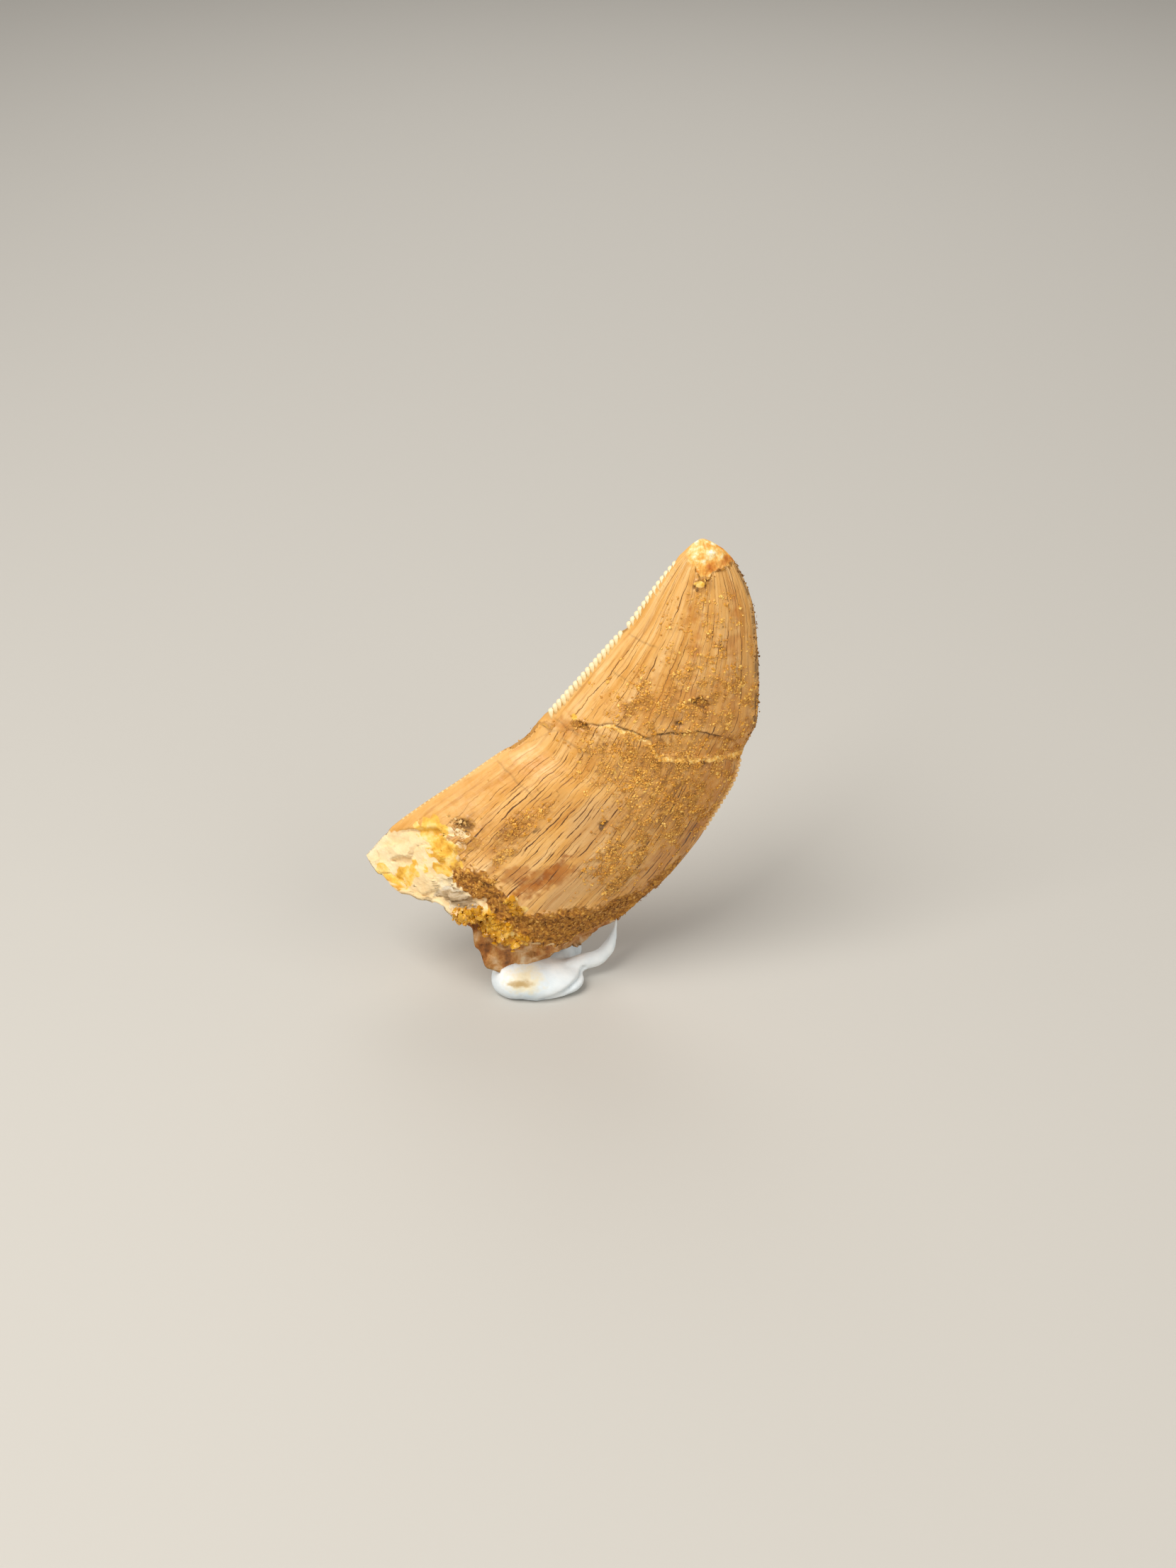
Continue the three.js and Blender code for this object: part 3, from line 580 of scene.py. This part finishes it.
def toothMaterial():
    material, tree, shader = newMaterial("fossilEnamel")
    grain = named(tree, "grain")
    place = tree.nodes.new("ShaderNodeTexCoord").outputs["Object"]
    bare, crust, stain = (named(tree, "regionsA", i) for i in range(3))
    yellow, wear, dark = (named(tree, "regionsB", i) for i in range(3))
    pale, sand, brownAndShade = (named(tree, "regionsC", i) for i in range(3))
    stub, ledge, blush = (named(tree, "regionsD", i) for i in range(3))
    crystal, rust, smudge = (named(tree, "regionsE", i) for i in range(3))
    mottle = grainNoise(tree, place, 900, 4)
    grit = grainNoise(tree, place, 2600, 4, 0.65)
    soft = grainNoise(tree, place, 220, 3)
    stubStripe = grainNoise(tree, stretched(tree, place, (620, 300, 200)), 1.0, 5, 0.65, 0.8)
    stubTone = weighed(tree, stubStripe, 0.55, mottle, 0.45)
    fibre = grainNoise(tree, stretched(tree, place, (400, 400, 1900)), 1.0, 4, 0.6, 0.4)

    def masked(mask, ragged, low, high):  # a region with a ragged border
        uneven = maths(tree, "ADD", mask, maths(tree, "MULTIPLY", ragged, 0.6))
        return ranged(tree, uneven, low + 0.3, high + 0.3)

    # pale and brown streaks that run from the base to the tip
    streak = grainNoise(tree, stretched(tree, grain, (1.0, 0.1, 1)), 1.0, 5, 0.6, 0.3)
    fineStreak = grainNoise(tree, stretched(tree, grain, (3.2, 0.16, 1)), 1.0, 3, 0.6, 0.2)
    colour = ramp(tree, maths(tree, "ADD", streak, maths(tree, "MULTIPLY", soft, 0.1)), enamel["streaks"])
    colour = blended(tree, masked(blush, streak, 0.2, 0.9), colour, ramp(tree, streak, enamel["blush"]))
    patchy = weighed(tree, streak, 0.5, mottle, 0.5)
    # browner streaks under the brown patches: brown tone, and painted shade on the right side
    brownedAndShaded = maths(tree, "MULTIPLY", brownAndShade, ranged(tree, patchy, 0.36, 0.56))
    colour = blended(tree, brownedAndShaded, colour, ramp(tree, fineStreak, enamel["brownAndShadeTone"]))
    stained = maths(tree, "MULTIPLY", stain, ranged(tree, patchy, 0.38, 0.56))
    colour = blended(tree, stained, colour, ramp(tree, mottle, enamel["stain"]))
    rusted = maths(tree, "MULTIPLY", rust, ranged(tree, patchy, 0.4, 0.56, 0.5, 1))
    colour = blended(tree, rusted, colour, ramp(tree, mottle, enamel["rust"]))
    thinLine = maths(tree, "MULTIPLY", hairlineMask(tree, grain, 0.5, 20.0, 0.03), 0.7)
    hairline = maths(tree, "MAXIMUM", hairlineMask(tree, grain, 0.0, 0.0, 0.0), thinLine)
    hairline = maths(tree, "MULTIPLY", hairline, ranged(tree, bare, 0.2, 0.6, 0.85, 0))
    threaded = ranged(tree, fineStreak, 0.52, 0.7, 0, 0.5)
    colour = blended(tree, threaded, colour, enamel["thread"])
    colour = blended(tree, ranged(tree, hairline, 0.0, 0.8), colour, ramp(tree, hairline, enamel["hairline"]))
    dusty = maths(tree, "MULTIPLY", ranged(tree, sand, 0.0, 0.7), ranged(tree, patchy, 0.4, 0.58))
    colour = blended(tree, maths(tree, "MULTIPLY", dusty, 0.85), colour, ramp(tree, grit, enamel["dust"]))

    # bared dentine, yellow mineral, crust, the worn tip, broken edges (partly a painted highlight on the
    # raised lip), open cracks and painted shade between the denticles
    bared = masked(bare, mottle, 0.3, 0.6)
    dentineTone = weighed(tree, soft, 0.7, mottle, 0.3)
    colour = blended(tree, bared, colour, ramp(tree, dentineTone, enamel["dentine"]))
    colour = blended(tree, masked(ledge, mottle, 0.3, 0.8), colour, ramp(tree, fibre, enamel["ledge"]))
    colour = blended(tree, masked(stub, mottle, 0.2, 0.8), colour, ramp(tree, stubTone, enamel["stub"]))
    colour = blended(tree, masked(yellow, mottle, 0.3, 0.7), colour, ramp(tree, mottle, enamel["yellow"]))
    crusted = masked(crust, grit, 0.25, 0.65)
    colour = blended(tree, crusted, colour, ramp(tree, grit, enamel["crust"]))
    colour = blended(tree, masked(crystal, mottle, 0.25, 0.7), colour, ramp(tree, mottle, enamel["crystal"]))
    wornTone = weighed(tree, mottle, 0.85, grit, 0.15)
    worn = maths(tree, "MULTIPLY", masked(wear, mottle, 0.3, 0.8), maths(tree, "SUBTRACT", 1.0, crusted))
    colour = blended(tree, worn, colour, ramp(tree, wornTone, enamel["worn"]))
    # pale broken edge, partly a painted highlight on the raised lip
    colour = blended(tree, ranged(tree, pale, 0.2, 0.8), colour, ramp(tree, grit, enamel["brokenEdgeAndHighlight"]))
    spotted = maths(tree, "MULTIPLY", masked(smudge, grit, 0.3, 0.75), 0.8)
    colour = blended(tree, maths(tree, "MAXIMUM", dark, spotted), colour, enamel["crack"])

    tree.links.new(colour, shader.inputs["Base Color"])
    dull = maths(tree, "MAXIMUM", maths(tree, "MAXIMUM", crusted, dusty), maths(tree, "MULTIPLY", bared, 0.6))
    dullness = maths(tree, "ADD", dull, maths(tree, "MULTIPLY", mottle, 0.25))
    tree.links.new(ranged(tree, dullness, 0.1, 1.1, 0.38, 0.85), shader.inputs["Roughness"])
    shader.inputs["Subsurface Weight"].default_value = 0.08
    shader.inputs["Subsurface Radius"].default_value = (1.0, 0.6, 0.3)
    shader.inputs["Subsurface Scale"].default_value = 0.0006
    height = maths(tree, "SUBTRACT", maths(tree, "MULTIPLY", grit, maths(tree, "ADD", dull, 0.12)),
                   maths(tree, "MULTIPLY", hairline, 0.2))
    bumped(tree, shader, height, 0.00025, 0.7)
    return material


# Rows of denticles: short bars across the edges, each leaning towards the tip.
# half is a bar's half length, width and thickness; proud is how far it stands out of both faces.
denticleShape = (0.65, 0.6, 0.3)  # powers that square off a ball
denticles = {
    "distalDenticles": {"curve": "distal", "span": (0.525, 0.95), "pitch": 0.577, "half": (0.55, 0.28, 0.26),
                        "proud": 0.15, "lean": 25, "out": 0.0, "inset": 0.1, "skip": (0.757, 0.772)},
    "lowerDenticles": {"curve": "distal", "span": (0.12, 0.4), "pitch": 0.52, "half": (0.26, 0.18, 0.12),
                       "proud": 0.03, "lean": 25, "out": -0.04, "inset": 0.05, "skip": (0, 0)},
    "mesialDenticles": {"curve": "mesial", "span": (0.36, 0.54), "pitch": 0.52, "half": (0.36, 0.2, 0.2),
                        "proud": 0.06, "lean": 25, "out": 0.02, "inset": 0.12, "skip": (0, 0)},
}


def denticleMesh(name, plan):
    draw = random.Random(name)
    curve = distalCurve if plan["curve"] == "distal" else mesialCurve
    other = mesialCurve if plan["curve"] == "distal" else distalCurve
    fine = np.linspace(*plan["span"], 400)
    route = curve(fine)
    run = np.concatenate([[0], np.cumsum(np.linalg.norm(np.diff(route, axis=0), axis=1))])
    bm = bmesh.new()
    fade = []
    for i in range(int(run[-1] / plan["pitch"])):
        share = np.interp((i + 0.5) * plan["pitch"], run, fine)
        if plan["skip"][0] < share < plan["skip"][1]:
            continue
        here, ahead = curve(np.array([share, share + 0.004]))
        tipward = Vector((ahead - here).tolist()).normalized()
        outward = Vector((here - other(np.array([share]))[0]).tolist())
        outward = (outward - tipward * outward.dot(tipward)).normalized()
        lean = math.radians(plan["lean"] + draw.uniform(-5, 5))
        spoke = outward * math.cos(lean) + tipward * math.sin(lean)
        side = Vector((-spoke.y, spoke.x))
        size = draw.uniform(0.92, 1.05)
        far, wide, thin = (h * size for h in plan["half"])
        centre = Vector(here.tolist()) + outward * plan["out"] - spoke * far
        turned = Matrix(((spoke.x * far, side.x * wide, 0, centre.x), (0, 0, 1, 0),
                         (spoke.y * far, side.y * wide, 0, centre.y), (0, 0, 0, 1)))
        bead = bmesh.ops.create_icosphere(bm, subdivisions=2, radius=1)["verts"]
        ball = np.array([v.co[:] for v in bead])
        fade += ball[:, 0].tolist()
        boxy = np.sign(ball) * np.abs(ball) ** denticleShape

        # each stands a little proud of both faces and sinks into them at its root
        chord = np.linalg.norm(here - other(np.array([share]))[0])
        inside = np.clip((far * (1 - boxy[:, 0]) * math.cos(lean) - plan["inset"]) / chord, 0, 0.5)
        fromEdge = inside if plan["curve"] == "distal" else 1 - inside
        face = np.abs(crownPoint(np.full(len(ball), share), fromEdge, boxy[:, 2] > 0)[:, 1])
        boxy[:, 2] *= np.maximum(thin, face + plan["proud"] * smooth(-1, -0.2, boxy[:, 0]))
        for v, spot in zip(bead, boxy):
            v.co = turned @ Vector(spot)
    bm.transform(toPlane @ Matrix.Scale(mm, 4))
    bmesh.ops.recalc_face_normals(bm, faces=bm.faces)
    mesh = bpy.data.meshes.new(name)
    bm.to_mesh(mesh)
    bm.free()
    mesh.shade_smooth()
    made = mesh.attributes.new("outward", "FLOAT", "POINT")  # -1 at the root of a bead, 1 at its end
    made.data.foreach_set("value", np.array(fade, np.float32))
    return mesh


def denticleMaterial(name, stops):
    material, tree, shader = newMaterial(name)
    place = tree.nodes.new("ShaderNodeTexCoord").outputs["Object"]
    mottle = grainNoise(tree, place, 1400, 3)
    reader = tree.nodes.new("ShaderNodeAttribute")
    reader.attribute_name = "outward"
    fade = ranged(tree, reader.outputs["Fac"], -0.7, 0.7)
    blend = weighed(tree, fade, 0.75, mottle, 0.35)
    colour = ramp(tree, blend, stops)
    tree.links.new(colour, shader.inputs["Base Color"])
    tree.links.new(ranged(tree, mottle, 0.3, 0.8, 0.5, 0.3), shader.inputs["Roughness"])
    shader.inputs["Subsurface Weight"].default_value = 0.15
    shader.inputs["Subsurface Scale"].default_value = 0.0004
    bumped(tree, shader, mottle, 0.0001, 0.3)
    return material


# Grains of sand, brown crust and yellow crystals, scattered on the finished tooth.
scatter = {
    "sandGrains": {"clumps": 3700, "clump": 4, "half": (0.025, 0.12), "spread": 0.14,
                   "lift": 0.2, "squash": 0.7, "seed": 5},
    "goldFlakes": {"clumps": 420, "clump": 8, "half": (0.05, 0.14), "spread": 0.13,
                   "lift": 0.2, "squash": 0.8, "seed": 21},
    "crustGrains": {"clumps": 1100, "clump": 4, "half": (0.035, 0.16), "spread": 0.18,
                    "lift": -0.3, "squash": 0.4, "seed": 8},
    "paleCrumbs": {"clumps": 44, "clump": 5, "half": (0.06, 0.24), "spread": 0.2,
                   "lift": -0.3, "squash": 0.5, "seed": 17},
    "edgeCrust": {"clumps": 110, "clump": 4, "half": (0.04, 0.13), "spread": 0.16,
                  "lift": -0.3, "squash": 0.8, "seed": 3},
    "crystals": {"clumps": 120, "clump": 4, "half": (0.1, 0.38), "spread": 0.2,
                 "lift": -0.2, "squash": 0.9, "seed": 13},
}


def scatterMesh(name, plan, weight, fields):
    draw = np.random.default_rng(plan["seed"])
    bm = bmesh.new()
    bmesh.ops.create_icosphere(bm, subdivisions=1, radius=1)
    ball = np.array([v.co[:] for v in bm.verts])
    faces = np.array([[v.index for v in f.verts] for f in bm.faces])
    bm.free()
    seats = draw.choice(len(weight), plan["clumps"], p=weight / weight.sum())
    low, high = plan["half"]
    corners, tints = [], []
    for seat in seats:
        normal = fields["normals"][seat]
        tone = 0.5 * draw.random() + 0.25 + 0.5 * noise.noise(Vector(fields["places"][seat] / mm) * 0.6)
        for i in range(draw.integers(1, plan["clump"] + 1)):
            size = low + (high - low) * draw.random() ** 3
            uneven = ball * draw.uniform(0.7, 1.3, (len(ball), 1)) * draw.uniform(0.6, 1.4, 3) * size
            grain = uneven @ np.array(Euler(draw.uniform(0, 2 * math.pi, 3)).to_matrix()).T
            grain -= np.outer(grain @ normal, normal) * (1 - plan["squash"])
            aside = draw.normal(0, plan["spread"], 3)
            aside += normal * (size * plan["lift"] - aside @ normal)
            corners.append(fields["places"][seat] + (grain + aside) * mm)
            tints += [0.6 * tone + 0.4 * draw.random()] * len(ball)
    count = len(corners)
    mesh = bpy.data.meshes.new(name)
    rows = (np.arange(count) * len(ball))[:, None, None] + faces[None]
    mesh.from_pydata(np.concatenate(corners).tolist(), [], rows.reshape(-1, 3).tolist())
    tint = mesh.attributes.new("tint", "FLOAT", "POINT")
    tint.data.foreach_set("value", np.array(tints, np.float32))
    return mesh


def grainMaterial(name, stops, rough, clear=0.0):
    material, tree, shader = newMaterial(name)
    reader = tree.nodes.new("ShaderNodeAttribute")
    reader.attribute_name = "tint"
    place = tree.nodes.new("ShaderNodeTexCoord").outputs["Object"]
    mottle = grainNoise(tree, place, 2500, 3)
    mixed = weighed(tree, reader.outputs["Fac"], 0.8, mottle, 0.3)
    tree.links.new(ramp(tree, mixed, stops), shader.inputs["Base Color"])
    shader.inputs["Roughness"].default_value = rough
    shader.inputs["Transmission Weight"].default_value = clear
    shader.inputs["IOR"].default_value = 1.55
    bumped(tree, shader, mottle, 0.0001, 0.4)
    return material


# The putty lump, in millimetres: lobes as (centre, radii) and a flap pinched up beside the mesial edge.
lump = {
    "lobes": [((-1.2, -3.6, 1.1), (4.4, 2.7, 1.7)), ((-3.3, -3.7, 1.2), (2.4, 2.5, 1.75)),
              ((-1.2, 0.3, 0.7), (3.7, 5.4, 2.4)), ((-1.3, 2.8, 1.0), (3.8, 3.7, 2.2)),
              ((-0.6, 1.9, 0.2), (3.6, 3.1, 0.9))],
    "flapRoute": [(0.8, -3.4, 1.4), (2.0, -2.7, 1.6), (3.07, -2.1, 1.8), (4.5, -1.7, 2.0), (5.5, -1.3, 3.0),
                  (6.0, -1.05, 4.4), (6.2, -0.98, 5.6), (6.25, -0.95, 5.95)],
    "flapRadius": [(0, 1.1), (0.4, 0.85), (0.6, 0.7), (0.75, 0.48), (0.9, 0.25), (1, 0.14)],
    "fold": [(-0.8, -6.0, 0.3), (0.9, -5.6, 0.9), (2.3, -4.7, 1.4), (3.3, -3.2, 1.7)],
    "foldDepth": 0.45,
    "foldWidth": 0.28,
    "flapBeads": 60,
    "voxel": 0.15,
    "lip": 0.25,  # how far the putty is squeezed up against the tooth
    "lipReach": 0.9,
    "dents": 0.1,
    "dentScale": 320,
}


def puttyMesh(toothTree):
    bm = bmesh.new()
    for centre, radii in lump["lobes"]:
        matrix = Matrix.Translation(Vector(centre) * mm) @ Matrix.Diagonal((*(Vector(radii) * mm), 1))
        bmesh.ops.create_uvsphere(bm, u_segments=36, v_segments=24, radius=1, matrix=matrix)
    route = edgeCurve(lump["flapRoute"])(np.linspace(0, 1, lump["flapBeads"]))
    for i, centre in enumerate(route):
        radius = float(eased(lump["flapRadius"], np.full(1, i / len(route)))[0]) * mm
        matrix = Matrix.Translation(Vector(centre) * mm) @ Matrix.Scale(radius, 4)
        bmesh.ops.create_icosphere(bm, subdivisions=2, radius=1, matrix=matrix)
    rough = bpy.data.meshes.new("puttyRough")
    bm.to_mesh(rough)
    bm.free()

    # one skin over the lobes and the flap, rounded off
    holder = bpy.data.objects.new("puttyRough", rough)
    scene.collection.objects.link(holder)
    skin = holder.modifiers.new("skin", "REMESH")
    skin.mode = "VOXEL"
    skin.voxel_size = lump["voxel"] * mm
    ease = holder.modifiers.new("ease", "SMOOTH")
    ease.factor = 0.5
    ease.iterations = 8
    bpy.context.view_layer.update()
    shaped = holder.evaluated_get(bpy.context.evaluated_depsgraph_get())
    mesh = bpy.data.meshes.new_from_object(shaped)
    bpy.data.objects.remove(holder)

    # dents from fingers, a lip squeezed up along the tooth, and a flat foot
    bm = bmesh.new()
    bm.from_mesh(mesh)
    bm.normal_update()
    skinTree = BVHTree.FromBMesh(bm)
    route = edgeCurve(lump["fold"])(np.linspace(0, 1, 60)) * mm
    crease = np.array([skinTree.find_nearest(Vector(p))[0] for p in route])
    for v in bm.verts:
        dent = noise.fractal(v.co * lump["dentScale"], 1.0, 2.0, 3) * lump["dents"] * mm
        reach = np.linalg.norm(crease - np.array(v.co), axis=1).min() / (lump["foldWidth"] * mm)
        dent -= lump["foldDepth"] * mm * math.exp(-reach * reach)
        gap = toothTree.find_nearest(v.co)[3]
        close = max(0.0, 1 - gap / (lump["lipReach"] * mm)) ** 2
        v.co += v.normal * dent + Vector((0, 0, lump["lip"] * mm * close))
    bmesh.ops.bisect_plane(bm, geom=bm.verts[:] + bm.edges[:] + bm.faces[:], plane_co=(0, 0, 0),
                           plane_no=(0, 0, -1), clear_outer=True)
    bmesh.ops.holes_fill(bm, edges=[e for e in bm.edges if e.is_boundary])
    bmesh.ops.recalc_face_normals(bm, faces=bm.faces)
    bm.to_mesh(mesh)
    bm.free()
    mesh.name = "putty"
    mesh.shade_smooth()
    return mesh


def puttyMaterial():
    material, tree, shader = newMaterial("whitePutty")
    place = tree.nodes.new("ShaderNodeTexCoord").outputs["Object"]
    soft = grainNoise(tree, place, 300, 4)
    fine = grainNoise(tree, place, 1800, 4)
    colour = ramp(tree, soft, [(0.3, "#cfdce4"), (0.5, "#e1eaef"), (0.7, "#f1f6f8")])
    # tan dirt rubbed into the front of the roll: a thin smear in a pale yellow patch
    for stretch, offset, tone in (((480, 300, 900), (1.2, 1.77, -2.0), "#e9dcb4"),
                                  ((750, 300, 3400), (2.1, 1.77, -7.1), "#b08c46")):
        away = tree.nodes.new("ShaderNodeVectorMath")
        away.operation = "LENGTH"
        tree.links.new(stretched(tree, place, stretch, offset), away.inputs[0])
        ragged = maths(tree, "ADD", away.outputs["Value"], maths(tree, "MULTIPLY", fine, 1.2))
        colour = blended(tree, ranged(tree, ragged, 0.9, 1.8, 0.8, 0), colour, tone)
    tree.links.new(colour, shader.inputs["Base Color"])
    shader.inputs["Roughness"].default_value = 0.55
    shader.inputs["Subsurface Weight"].default_value = 0.2
    shader.inputs["Subsurface Radius"].default_value = (1.0, 1.0, 1.0)
    shader.inputs["Subsurface Scale"].default_value = 0.0008
    bumped(tree, shader, fine, 0.0002, 0.35)
    return material


# Pale floor, soft lights and the camera at the photograph's angle.
studio = {
    "floorSize": 3.0,
    "floor": "#c2bfb9",
    "world": (1.0, 0.97, 0.93),
    "worldStrength": 0.3,
    "lights": [("key", (-0.16, -0.14, 0.34), 0.24, 1.5, (1.0, 0.97, 0.92)),
               ("fill", (0.26, -0.2, 0.2), 0.3, 0.42, (1.0, 0.94, 0.86)),
               ("rim", (0.02, 0.28, 0.26), 0.25, 0.35, (1.0, 0.98, 0.95))],
    "aim": (3.543, 0.555, 20.5),
    "elevation": 34.0,
    "distance": 199.7,
    "lens": 50.0,
}


def makeStudio():
    bm = bmesh.new()
    bmesh.ops.create_grid(bm, x_segments=1, y_segments=1, size=studio["floorSize"] / 2)
    mesh = bpy.data.meshes.new("floor")
    bm.to_mesh(mesh)
    bm.free()
    floor = bpy.data.objects.new("floor", mesh)
    scene.collection.objects.link(floor)
    material, tree, shader = newMaterial("paleFloor")
    place = tree.nodes.new("ShaderNodeTexCoord").outputs["Object"]
    shader.inputs["Base Color"].default_value = hexColour(studio["floor"])
    shader.inputs["Roughness"].default_value = 0.9
    bumped(tree, shader, grainNoise(tree, place, 900, 3), 0.0001, 0.1)
    mesh.materials.append(material)

    world = bpy.data.worlds.new("studio")
    world.use_nodes = True
    sky = world.node_tree.nodes["Background"]
    sky.inputs["Color"].default_value = (*studio["world"], 1)
    sky.inputs["Strength"].default_value = studio["worldStrength"]
    scene.world = world
    aim = Vector(studio["aim"]) * mm
    for name, place, size, power, tone in studio["lights"]:
        lamp = bpy.data.lights.new(name, "AREA")
        lamp.size = size
        lamp.energy = power
        lamp.color = tone
        holder = bpy.data.objects.new(name, lamp)
        holder.location = place
        holder.rotation_euler = (aim - Vector(place)).to_track_quat("-Z", "Y").to_euler()
        scene.collection.objects.link(holder)

    camera = bpy.data.cameras.new("camera")
    camera.lens = studio["lens"]
    camera.sensor_width = 36
    camera.clip_start = 0.01
    eye = bpy.data.objects.new("camera", camera)
    tilt = math.radians(studio["elevation"])
    back = Vector((0, -math.cos(tilt), math.sin(tilt)))
    eye.location = aim + back * studio["distance"] * mm
    eye.rotation_euler = (-back).to_track_quat("-Z", "Y").to_euler()
    scene.collection.objects.link(eye)
    scene.camera = eye
    scene.view_settings.view_transform = "Standard"


print("studio")
makeStudio()

print("tooth")
mesh, fields = toothMesh()
tooth = addPiece("fossilTooth", mesh, toothMaterial())
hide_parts("tooth")
toothTree = BVHTree.FromObject(tooth, bpy.context.evaluated_depsgraph_get())

print("denticles")
creamBeads = denticleMaterial("creamDenticles", [(0.1, "#cf9348"), (0.4, "#dcae6c"), (0.65, "#ebcd95"),
                                                 (0.9, "#f5e4bc")])
tanBeads = denticleMaterial("tanDenticles", [(0.2, "#c98a3e"), (0.55, "#dfa559"), (0.9, "#f0c88a")])
for name, plan in denticles.items():
    addPiece(name, denticleMesh(name, plan), creamBeads if name == "distalDenticles" else tanBeads)

print("grains and crystals")
rise, across = fields["rise"], fields["across"]
seen = fields["front"] & (fields["cap"] == 0)
onEnamel = seen & (fields["bare"] < 0.5) & (rise < 0.88)
edgeSeat = smooth(0.965, 0.99, across) * smooth(0.55, 0.6, rise) * (1 - smooth(0.92, 0.95, rise))
weights = {
    "sandGrains": fields["sand"] ** 1.5 * onEnamel,
    "goldFlakes": (fields["sand"] ** 0.7 + 0.03 * smooth(0.3, 0.5, across) * (rise > 0.56)) * onEnamel,
    "crustGrains": fields["crust"] ** 2 * (fields["cap"] == 0),
    "paleCrumbs": fields["crumb"] * seen,
    "edgeCrust": edgeSeat,
    "crystals": fields["crystal"] ** 2,
}
finishes = {
    "sandGrains": grainMaterial("goldenSand", [(0.1, "#a66c24"), (0.5, "#d29436"), (0.9, "#f0c05c")], 0.5),
    "goldFlakes": grainMaterial("goldFlakes", [(0.1, "#b87a20"), (0.5, "#e3a436"), (0.9, "#fbd678")], 0.4),
    "crustGrains": grainMaterial("brownCrust", [(0.15, "#6e4211"), (0.5, "#b2782a"), (0.85, "#ecb95c")], 0.7),
    "paleCrumbs": grainMaterial("paleCrumbs", [(0.1, "#8a5f26"), (0.5, "#cb9b52"), (0.95, "#f4dca6")], 0.7),
    "edgeCrust": grainMaterial("edgeCrust", [(0.1, "#4a2c10"), (0.5, "#7d511d"), (0.95, "#b58238")], 0.75),
    "crystals": grainMaterial("yellowCrystal", [(0.1, "#b87708"), (0.45, "#dd9c18"), (0.8, "#f2bf42"),
                                                (1.0, "#fbe8b0")], 0.22, 0.2),
}
for name, plan in scatter.items():
    addPiece(name, scatterMesh(name, plan, weights[name], fields), finishes[name])

print("putty")
putty = addPiece("mountingPutty", puttyMesh(toothTree), puttyMaterial())
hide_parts("putty")

print("done")
